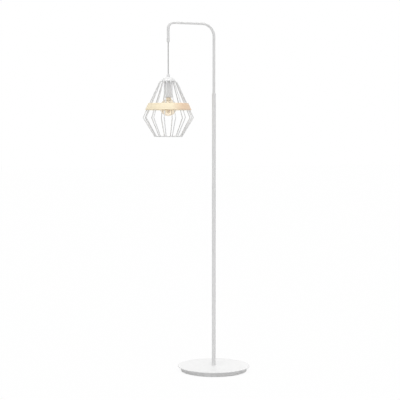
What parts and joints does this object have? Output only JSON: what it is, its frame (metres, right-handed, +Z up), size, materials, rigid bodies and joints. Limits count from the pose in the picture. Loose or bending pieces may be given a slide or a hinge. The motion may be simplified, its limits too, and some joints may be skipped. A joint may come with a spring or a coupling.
{
  "type": "floor lamp",
  "caption": "White floor lamp: round weighted base, slim pole, thin bent arm that swivels, and a diamond-shaped wire cage with a wooden band round a globe bulb, hung on a short cable.",
  "frame": {"origin": "on the floor, on the pole's axis, at the centre of the base's underside", "axes": "+Z up along the pole; the arm reaches out along -X; +Y is the back, where the inlet is"},
  "size_m": [0.5214, 0.344, 1.66],
  "materials": {
    "white_coat": "satin white powder coat",
    "holder_white": "smooth white enamel",
    "birch": "pale, satin, open grain",
    "amber_glass": "clear amber, polished",
    "clear_glass": "clear",
    "phosphor": "matte coating",
    "brass": "plain, lightly rolled",
    "zinc": "bright zinc plate",
    "casting": "rough, as cast",
    "felt": "grey felt",
    "grommet": "matte white rubber",
    "cable": "matte light jacket",
    "block": "matte",
    "core": "smooth insulation",
    "insulator": "matte, heat-proof",
    "bulb_insulator": "glossy black"
  },
  "bodies": {
    "stand": {"foot_pad": "felt", "base_access_plate": "zinc", "base_screws": "zinc", "base_pan": "white_coat", "base_weight": "casting", "base_cover": "white_coat", "inlet_grommet": "grommet", "base_washer": "zinc", "base_nut": "zinc", "terminal_block": "block", "lead_cores": "core", "lower_pole": "white_coat", "upper_pole": "white_coat", "foot_ferrule": "zinc", "base_nipple": "zinc", "joint_ferrules": "zinc", "joint_nipple": "zinc", "pole_top_bush": "white_coat", "swivel_stop_screw": "white_coat", "pole_lead": "cable"},
    "arm": {"arm_stem": "zinc", "arm_tube": "white_coat", "tip_bushing": "white_coat", "cord_stop": "brass", "arm_lead": "cable"},
    "cable_bend": {"cable_flex": "cable"},
    "cable": {"pendant_cable": "cable"},
    "cage": {"cable_gland": "holder_white", "gland_screw": "zinc", "pendant_nipple": "zinc", "cap_nut": "zinc", "cage_cap": "white_coat", "cage_wires": "white_coat", "cage_bottom_ring": "white_coat", "wood_band": "birch", "holder_sleeve": "holder_white", "holder_body": "insulator", "holder_screw_shell": "brass", "holder_contact": "brass", "holder_terminal_screws": "brass"},
    "bulb": {"bulb_cap": "brass", "bulb_insulator": "bulb_insulator", "bulb_contact": "zinc", "bulb_glass": "amber_glass", "bulb_stem": "clear_glass", "bulb_filaments": "phosphor", "filament_hub": "brass"}
  },
  "joints": [
    {"name": "arm_swivel", "type": "hinge", "parent": "stand", "child": "arm", "pos_m": [0, 0, 1.3], "axis": [0, 0, 1], "range_deg": [-150, 150]},
    {"name": "cage_swing", "type": "hinge", "parent": "arm", "child": "cable_bend", "pos_m": [-0.232, 0, 1.5632], "axis": [0, 1, 0], "range_deg": [-15, 20]},
    {"name": "cage_sway", "type": "hinge", "parent": "cable_bend", "child": "cable", "pos_m": [-0.232, 0, 1.5632], "axis": [1, 0, 0], "range_deg": [-20, 20]},
    {"name": "cage_turn", "type": "hinge", "parent": "cable", "child": "cage", "pos_m": [-0.232, 0, 1.412], "axis": [0, 0, 1], "range_deg": [-90, 90]},
    {"name": "bulb_unscrew", "type": "slide", "parent": "cage", "child": "bulb", "axis": [0, 0, -1], "range_m": [0, 0.03]}
  ]
}
